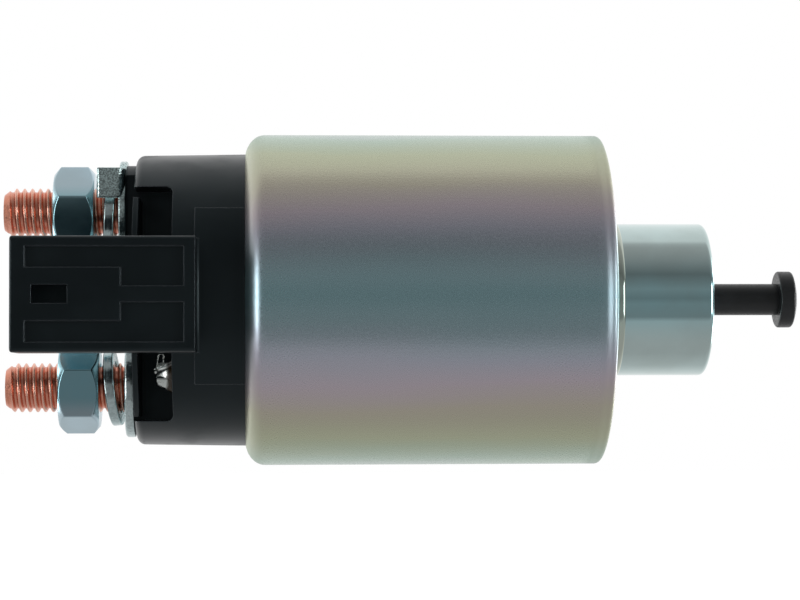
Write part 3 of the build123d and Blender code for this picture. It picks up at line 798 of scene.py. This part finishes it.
# %% [markdown]
# Placing and cutting. A piece is made on the X axis, where spinning is simple, and moved to its own axis
# afterwards. A cut by bisect_plane leaves a clean flat end, where a boolean would often leave slivers.

# %% Moves and cuts


def about(axis, degrees):
    """A rotation about one axis."""
    return Matrix.Rotation(math.radians(degrees), 3, axis)


def move(bm, x=0.0, y=0.0, z=0.0, turn=None):
    """Turns the mesh about the origin and then moves it, in mm."""
    if turn is not None:
        bmesh.ops.rotate(bm, verts=bm.verts, cent=(0, 0, 0), matrix=turn)
    bmesh.ops.translate(bm, verts=bm.verts, vec=(x * MM, y * MM, z * MM))
    return bm


def cut(bm, place, normal):
    """Cuts away what lies beyond a plane through a place in mm, on the side that its normal points to."""
    bmesh.ops.bisect_plane(
        bm,
        geom=bm.verts[:] + bm.edges[:] + bm.faces[:],
        dist=1e-8,
        plane_co=[c * MM for c in place],
        plane_no=normal,
        clear_outer=True,
    )
    return bm


cut(trial, (0, 0, 0), (0, 0, 1))
print("half of the trial washer has", len(trial.faces), "faces")
trial.free()

# %% [markdown]
# Rounding and adding. An edge of real metal is never quite sharp, and its small round is what catches the
# light. A bevel of three segments is enough at this size. join puts two meshes into one piece, and grow
# pulls faces outward, which is how a flat outline gets its thickness.

# %% Rounds, joins and growth


def round_edges(bm, edges, size):
    """Rounds edges by a size in mm."""
    bmesh.ops.bevel(
        bm,
        geom=edges,
        offset=size * MM,
        offset_type="OFFSET",
        segments=3,
        profile=0.5,
        affect="EDGES",
        clamp_overlap=True,
        material=-1,
    )
    bmesh.ops.recalc_face_normals(bm, faces=bm.faces)
    return bm


def join(target, other):
    """Adds another mesh to the target, and frees it."""
    spare = bpy.data.meshes.new("spare")
    other.to_mesh(spare)
    other.free()
    target.from_mesh(spare)
    bpy.data.meshes.remove(spare)
    return target


def grow(bm, faces, x=0.0, y=0.0, z=0.0):
    """Extrudes faces by a step in mm, and gives the faces that moved."""
    grown = bmesh.ops.extrude_face_region(bm, geom=faces)["geom"]
    moved = [v for v in grown if isinstance(v, bmesh.types.BMVert)]
    bmesh.ops.translate(bm, verts=moved, vec=(x * MM, y * MM, z * MM))
    return [f for f in grown if isinstance(f, bmesh.types.BMFace)]


block = outline([(0, 0), (0, 4), (4, 4), (4, 0)])
grow(block, block.faces[:], y=4)
print("a trial square grows into a block with", len(block.faces), "faces")
block.free()

# %% [markdown]
# From mesh to piece. A finished mesh becomes an object that rides on a body of the frame, and it takes its
# solid's place. Smooth shading hides the facets, and edges sharper than an angle stay sharp. Weighted
# normals keep wide flats flat beside small rounds.

# %% Pieces


def piece(name, bm, finish, replaced, body="housing", sharp=35, even=False, added=False):
    """A finished mesh as an object that rides on a body, in place of its node or added to it."""
    mesh = bpy.data.meshes.new(name)
    bm.to_mesh(mesh)
    bm.free()
    mesh.polygons.foreach_set("use_smooth", [True] * len(mesh.polygons))
    mesh.set_sharp_from_angle(angle=math.radians(sharp))
    mesh.materials.append(MATERIALS[finish])
    obj = bpy.data.objects.new(name, mesh)
    scene.collection.objects.link(obj)
    if even:
        obj.modifiers.new("even_shading", "WEIGHTED_NORMAL").keep_sharp = True
    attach(obj, body)
    if not added:
        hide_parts(replaced)
    print(name, len(mesh.polygons), "faces")
    return obj


print("pieces can take the slots", sorted(set(SLOTS.values())))

# %% [markdown]
# Threads. The studs are M8 bolts of rolled copper with a pitch of 1.25 mm. A bump could fake the thread
# from far away, but its outline would stay straight. So one tooth's outline is wound along a helix, the
# turns merge into a bar, two planes cut its ends square, and the tip's chamfer runs the thread out. The
# head has two flats that stop it turning in the cap.

# %% Threaded studs
thread_major = 3.93
thread_minor = 3.33
thread_pitch = 1.25
thread_steps = 56
tooth_shape = ((0, 0), (0.14, 0), (0.37, 0.86), (0.45, 1), (0.56, 1), (0.64, 0.86), (0.87, 0), (1, 0))
tip_radius = 2.9
tip_chamfer = 1.35
head_flats = 11.0
head_thickness = 4.0


def threaded_bar(x_low, x_high):
    """A right-handed thread along X with square ends."""
    bm = bmesh.new()
    depth = thread_major - thread_minor
    teeth = [
        bm.verts.new(((x_low + (share - 1) * thread_pitch) * MM, 0, (thread_minor + depth * up) * MM))
        for share, up in tooth_shape
    ]
    for pair in zip(teeth, teeth[1:]):
        bm.edges.new(pair)
    turns = math.ceil((x_high - x_low) / thread_pitch) + 2
    bmesh.ops.spin(
        bm,
        geom=bm.verts[:] + bm.edges[:],
        cent=(0, 0, 0),
        axis=(1, 0, 0),
        dvec=(thread_pitch * MM / thread_steps, 0, 0),
        angle=2 * math.pi * turns,
        steps=thread_steps * turns,
    )
    bmesh.ops.remove_doubles(bm, verts=bm.verts, dist=1e-6)
    cut(bm, (x_low, 0, 0), (-1, 0, 0))
    cut(bm, (x_high, 0, 0), (1, 0, 0))
    return close(bm)


def run_out(bm, x_tip):
    """Draws the thread in towards the tip, as the chamfer does."""
    slope = (thread_major - tip_radius) / tip_chamfer
    for vert in bm.verts:
        radius = math.hypot(vert.co.y, vert.co.z)
        limit = (tip_radius + slope * (vert.co.x / MM - x_tip)) * MM
        if radius > limit > 0:
            vert.co.y *= limit / radius
            vert.co.z *= limit / radius


def add_stud(node):
    """Threaded stud with its two-flatted head in the contact chamber."""
    x_tip, x_head, head_radius, z = envelope(node)
    x_seat = x_head - head_thickness
    bm = threaded_bar(x_tip, x_seat)
    run_out(bm, x_tip)
    rim = [(x_seat, 0), (x_seat, head_radius), (x_head, head_radius), (x_head, 0)]
    head = spin(outline(rim, {1: 0.3, 2: 0.5}), steps=64)
    for side in (-1, 1):
        cut(head, (0, side * head_flats / 2, 0), (0, side, 0))
    join(bm, close(head))
    return piece(node + "_threaded", move(bm, z=z), "copper", replaced=node, sharp=50, even=True)


add_stud("battery_stud")
add_stud("motor_stud")

# %% [markdown]
# Nuts. A hexagon that is extruded and bevelled looks wrong, because a real nut is chamfered on a lathe. So
# the nut is first turned as a round blank with its chamfers and countersinks. Then the blank's rim is
# drawn in to six flats, which leaves the curved corner arcs of a real nut. Small rounds give every edge a
# bright line. Each nut stands as the photograph shows it, turned by its own angle.

# %% Nuts
nut_flats = 13.0
nut_corner = nut_flats / math.sqrt(3)
nut_face_radius = 6.2
nut_chamfer = 1.1
nut_mouth = 4.15
nut_bore = 3.45
nut_edge = 0.13
nut_edge_reach = 0.3
battery_nut_turn = -22
motor_nut_turn = -17


def draw_flats(bm, x_low, x_high, turn):
    """Draws the rim of a round blank in to six flats and slides its chamfer along with it."""
    for vert in bm.verts:
        x, y, z = (c / MM for c in vert.co)
        radius = math.hypot(y, z)
        if radius < (nut_corner + nut_face_radius) / 2:
            continue
        around = (math.degrees(math.atan2(z, y)) - turn) % 60 - 30
        drawn = nut_flats / 2 / math.cos(math.radians(around))
        inset = nut_chamfer * (drawn - nut_face_radius) / (nut_corner - nut_face_radius)
        near_low = x < (x_low + x_high) / 2
        vert.co.x = (x_low + inset if near_low else x_high - inset) * MM
        vert.co.y *= drawn / radius
        vert.co.z *= drawn / radius


def outer_edges(bm):
    """The nut's outer edges that are not flat."""
    edges = []
    for edge in bm.edges:
        middle = (edge.verts[0].co + edge.verts[1].co) / 2
        outside = math.hypot(middle.y, middle.z) > (nut_face_radius - nut_edge_reach) * MM
        if outside and edge.calc_face_angle(0) > math.radians(12):
            edges.append(edge)
    return edges


def add_nut(node, turn):
    """Hexagon nut, chamfered on both faces."""
    x_low, x_high, _, z_axis = envelope(node)
    sink = nut_mouth - nut_bore
    rim = [
        (x_low + sink, nut_bore),
        (x_low, nut_mouth),
        (x_low, nut_face_radius),
        (x_low + nut_chamfer, nut_corner),
        (x_high - nut_chamfer, nut_corner),
        (x_high, nut_face_radius),
        (x_high, nut_mouth),
        (x_high - sink, nut_bore),
    ]
    bm = move(spin(outline(rim), steps=144), turn=about("X", turn - 90))
    draw_flats(bm, x_low, x_high, turn)
    bmesh.ops.recalc_face_normals(bm, faces=bm.faces)
    round_edges(bm, outer_edges(bm), nut_edge)
    move(bm, z=z_axis)
    return piece(node + "_chamfered", bm, "nut_zinc", replaced=node, sharp=40, even=True)


add_nut("battery_nut", battery_nut_turn)
add_nut("motor_nut", motor_nut_turn)

# %% [markdown]
# The flat washer. It is stamped from sheet, and the punch drags one of its rims round while the other stays
# crisp. So the outline's four corners get four different rounds before it is spun.

# %% Flat washer
washer_bore = 4.18


def add_flat_washer():
    """Stamped washer on the battery stud."""
    x_low, x_high, rim, z = envelope("battery_flat_washer")
    points = [(x_low, washer_bore), (x_low, rim), (x_high, rim), (x_high, washer_bore)]
    bm = move(spin(outline(points, {0: 0.15, 1: 0.5, 2: 0.18, 3: 0.3})), z=z)
    return piece("battery_flat_washer_stamped", bm, "washer_zinc", replaced="battery_flat_washer")


add_flat_washer()

# %% [markdown]
# The spring washers. They are cut from rolled wire: split, sprung apart, and hanging a little askew because
# the nuts are loose. A flat ring with a slot would miss the spring, so the section runs along a helix that
# stops short of a full turn. Then each washer is turned to its start and tilted on its stud.

# %% Spring washers
spring_washer_bore = 4.2
spring_washer_rim = 6.15
spring_washer_half = 0.8
spring_washer_rise = 0.5
spring_washer_turns = 345 / 360


def add_spring_washer(node, stud, start, lean, swing):
    """Split ring on a short helix. Its start, lean and swing are in degrees about X, Y and Z."""
    x_low, x_high, _, _ = envelope(node)
    half = spring_washer_half
    points = [
        (-half, spring_washer_bore),
        (-half, spring_washer_rim),
        (half, spring_washer_rim),
        (half, spring_washer_bore),
    ]
    bm = outline(points, {0: 0.2, 1: 0.28, 2: 0.28, 3: 0.2})
    move(bm, x=-spring_washer_rise / 2)
    spin(bm, steps=144, turns=spring_washer_turns, rise=spring_washer_rise)
    tilt = about("Y", lean) @ about("Z", swing) @ about("X", start)
    move(bm, x=(x_low + x_high) / 2, z=envelope(stud)[3], turn=tilt)
    return piece(node + "_split", bm, "spring_zinc", replaced=node)


add_spring_washer("battery_spring_washer", "battery_stud", start=-80, lean=-5.5, swing=-4)
add_spring_washer("motor_spring_washer", "motor_stud", start=-100, lean=4, swing=0)

# %% [markdown]
# The tab washer. Its tab is bent back beside the stud, with a soft outer bend and a rolled end. Bending a
# flat blank with a modifier is possible, but a sheet bent once is simplest as its side view: an outline
# with a round at each bend, extruded over the tab's width. The plate is turned like the flat washer.

# %% Tab washer
tab_thickness = 1.2
tab_low = 1.9
tab_high = 6.7
tab_root = 3.4
tab_skin = 0.02
tab_edge = 0.22


def add_tab_washer():
    """Plate with a tab that is bent back along the stud."""
    (x_low, y_low, _), (x_high, _, _) = SIZES["motor_tab_washer"]
    z = envelope("motor_tab_washer")[3]
    rim = -y_low
    x_plate = x_high - tab_thickness
    points = [(x_plate, washer_bore), (x_plate, rim), (x_high, rim), (x_high, washer_bore)]
    bm = spin(outline(points, {0: 0.2, 1: 0.3, 2: 0.25, 3: 0.2}))
    bend = [
        (x_high - tab_skin, rim - tab_root),
        (x_high - tab_skin, rim),
        (x_low, rim),
        (x_low, rim - tab_thickness),
        (x_plate + tab_skin, rim - tab_thickness),
        (x_plate + tab_skin, rim - tab_root),
    ]
    tab = outline(bend, {1: tab_thickness + 0.4, 2: 0.55, 3: 0.45, 4: 0.4})
    grow(tab, tab.faces[:], y=tab_high - tab_low)
    bmesh.ops.recalc_face_normals(tab, faces=tab.faces)
    round_edges(tab, [e for e in tab.edges if e.calc_face_angle(0) > math.radians(80)], tab_edge)
    join(bm, move(tab, z=tab_low, turn=about("X", 90)))
    return piece("motor_tab_washer_bent", move(bm, z=z), "tab_zinc", replaced="motor_tab_washer")


add_tab_washer()

# %% [markdown]
# Springs. Each is a ring of wire wound along a helix, as long as its solid. A curve with a bevel would also
# do, but a spun circle gives a closed mesh at once. The table gives each spring's body, its joint, the
# wire's radius, the turns, by how many mm it shortens, and which end stays: 0 is the rear one and 1 the
# front one.

# %% Springs
springs = {
    "return_spring": ("housing", "plunger_slide", 0.6, 6, 11.7, 0),
    "meshing_spring": ("plunger", "rod_slide", 1.1, 5, 5.0, 1),
    "contact_spring": ("contact_rod", "contact_rod_slide", 0.4, 3, 0.575, 1),
    "contact_return_spring": ("housing", "contact_bridge_slide", 0.35, 4.5, 2.925, 0),
}


def add_spring(node, body, joint, wire, turns, shortened, fixed_end):
    """A round-wire spring in its node's box."""
    x_low, x_high, outside, _ = envelope(node)
    bm = bmesh.new()
    bmesh.ops.create_circle(bm, cap_ends=True, segments=14, radius=wire * MM)
    move(bm, x=x_low + wire, z=outside - wire, turn=about("X", 90))
    spin(bm, steps=56, turns=turns, rise=x_high - x_low - 2 * wire)
    obj = piece(node + "_wound", bm, "spring_steel", body=body, replaced=node, sharp=60)
    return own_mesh(obj)


for node, facts in springs.items():
    add_spring(node, *facts)

# %% [markdown]
# The guide sleeve. The plunger slides in this thin tube, whose end stands out of the can. Where it comes
# through the front wall it is rolled in to a shallow groove, which reads as a bead with a bright line. The
# groove is part of the outline, so one spin makes the tube, the groove and the rounded mouth.

# %% Guide sleeve
sleeve_wall = 0.35
groove_depth = 0.24
groove_starts = 0.3
groove_ends = 1.55
groove_climb = 0.4
mouth_length = 0.3
mouth_depth = 0.28


def add_guide_sleeve():
    """Thin tube with a rolled groove in front of the can."""
    x_low, x_high, radius, _ = envelope("guide_sleeve")
    bore = radius - sleeve_wall
    points = [
        (x_low, bore),
        (x_low, radius),
        (0, radius),
        (groove_starts, radius - groove_depth),
        (groove_ends, radius - groove_depth),
        (groove_ends + groove_climb, radius),
        (x_high - mouth_length, radius),
        (x_high, radius - mouth_depth),
        (x_high, bore),
    ]
    bm = spin(outline(points, {3: 0.15, 4: 0.3, 5: 0.25, 6: 0.3}), steps=160)
    return piece("guide_sleeve_beaded", bm, "sleeve_zinc", replaced="guide_sleeve")


add_guide_sleeve()

# %% [markdown]
# The solder joint. The coil's two starts come out of the pocket's wall, hook over and drown in one lump of
# solder: a slumped cone with flutes, a round bead on its tip and a bright loop of stray wire above. Liquid
# shapes like this can be sculpted. Here a turned cone is pushed in and out by a sine for the flutes and by
# noise for the rest, so that it stays inside its solid's box.

# %% Solder joint
solder_tip = 1.45
tip_round = 0.1
solder_taper = 1.4
solder_rings = 12
solder_shrink = 0.94
flute_count = 3
flute_depth = 0.10
flute_start = 0.6
wobble_depth = 0.07
wobble_size = 1.1
solder_bead = 0.45
bead_aside = -0.9
bead_up = 0.75
bead_sunk = 0.1
strand = 0.12
strand_steps = ((2.2, 0.35), (0.35, 0.15), (0.12, 0.3), (-0.12, 0.3), (-0.35, 0.1), (-1.7, -0.2))


def solder_cone(x_low, x_high, base):
    """A cone with a concave side and a blunt tip, turned about X."""
    points = [(x_high, 0), (x_high, base)]
    for ring in range(1, solder_rings):
        share = ring / solder_rings
        radius = solder_tip + (base - solder_tip) * (1 - share) ** solder_taper
        points.append((x_high - share * (x_high - x_low), radius))
    points += [(x_low + tip_round, solder_tip * 0.8), (x_low, solder_tip * 0.4), (x_low, 0)]
    return spin(outline(points), steps=72)


def slump(bm, x_low, x_high, rise):
    """Flutes and wobbles a cone's side, and lifts its tip."""
    for vert in bm.verts:
        share = (x_high - vert.co.x / MM) / (x_high - x_low)
        angle = math.atan2(vert.co.z, vert.co.y)
        along = math.sin(math.pi * min(1, share + 0.15))
        flute = 1 + flute_depth * math.sin(flute_count * angle + flute_start) * along
        wobble = 1 + wobble_depth * noise.noise(vert.co / (wobble_size * MM))
        scale = min(1, flute * wobble * solder_shrink)
        vert.co.y *= scale
        vert.co.z = vert.co.z * scale + share * rise * MM
    return bm


def wire_loop():
    """A stray strand of the coil's wire that rises from the bead, bends over and runs back."""
    bm = bmesh.new()
    bmesh.ops.create_circle(bm, cap_ends=True, segments=10, radius=strand * MM)
    end = bm.faces[:]
    for height, lean in strand_steps:
        end = grow(bm, end, x=lean, z=height)
    bmesh.ops.recalc_face_normals(bm, faces=bm.faces)
    return bm


def add_solder():
    """Fluted lump of solder with a bead and a stray wire on its tip."""
    (x_low, y_low, z_low), (x_high, y_high, z_high) = SIZES["solder_joint"]
    base = (y_high - y_low) / 2
    y_mid = (y_low + y_high) / 2
    z_base = z_low + base
    rise = (z_high - z_low) - 2 * base
    bm = slump(solder_cone(x_low, x_high, base), x_low, x_high, rise)
    move(bm, y=y_mid, z=z_base)
    bead = bmesh.new()
    bmesh.ops.create_icosphere(bead, subdivisions=3, radius=solder_bead * MM)
    for extra in (bead, wire_loop()):
        join(bm, move(extra, x=x_low + bead_sunk, y=y_mid + bead_aside, z=z_base + bead_up))
    bmesh.ops.recalc_face_normals(bm, faces=bm.faces)
    return piece("solder_joint_lump", bm, "solder", replaced="solder_joint", sharp=60)


add_solder()

# %% [markdown]
# Ribs of the pocket. The cap's pocket is closed towards the washers by two thin ribs, one above its middle
# and one below. Their edges catch the side light as thin bright lines. A box would stick out of the round
# cap. So each rib is a slice of a turned disc, cut down to the pocket's floor and between two heights.

# %% Ribs of the pocket
rib_place = 17.8
rib_thickness = 0.9
rib_rim = 22.7
rib_floor = -4.95
rib_starts = 8.8
rib_upper_end = 15.4
rib_lower_end = -18.6


def add_rib(name, z_low, z_high):
    """Thin wall at the pocket's open end, between two heights."""
    x_low = SIZES["cap"][0][0] + rib_place
    x_high = x_low + rib_thickness
    bm = spin(outline([(x_low, 0), (x_low, rib_rim), (x_high, rib_rim), (x_high, 0)], {2: 0.3}))
    close(cut(bm, (0, rib_floor, 0), (0, 1, 0)))
    close(cut(bm, (0, 0, z_low), (0, 0, -1)))
    close(cut(bm, (0, 0, z_high), (0, 0, 1)))
    return piece(name, bm, "black_plastic", replaced="cap", added=True)


add_rib("pocket_rib_upper", rib_starts, rib_upper_end)
add_rib("pocket_rib_lower", rib_lower_end, -rib_starts)

# %% [markdown]
# The dressed part may not be larger than its solids, because mounts and clearances were checked on the
# solids.

# %% [markdown]
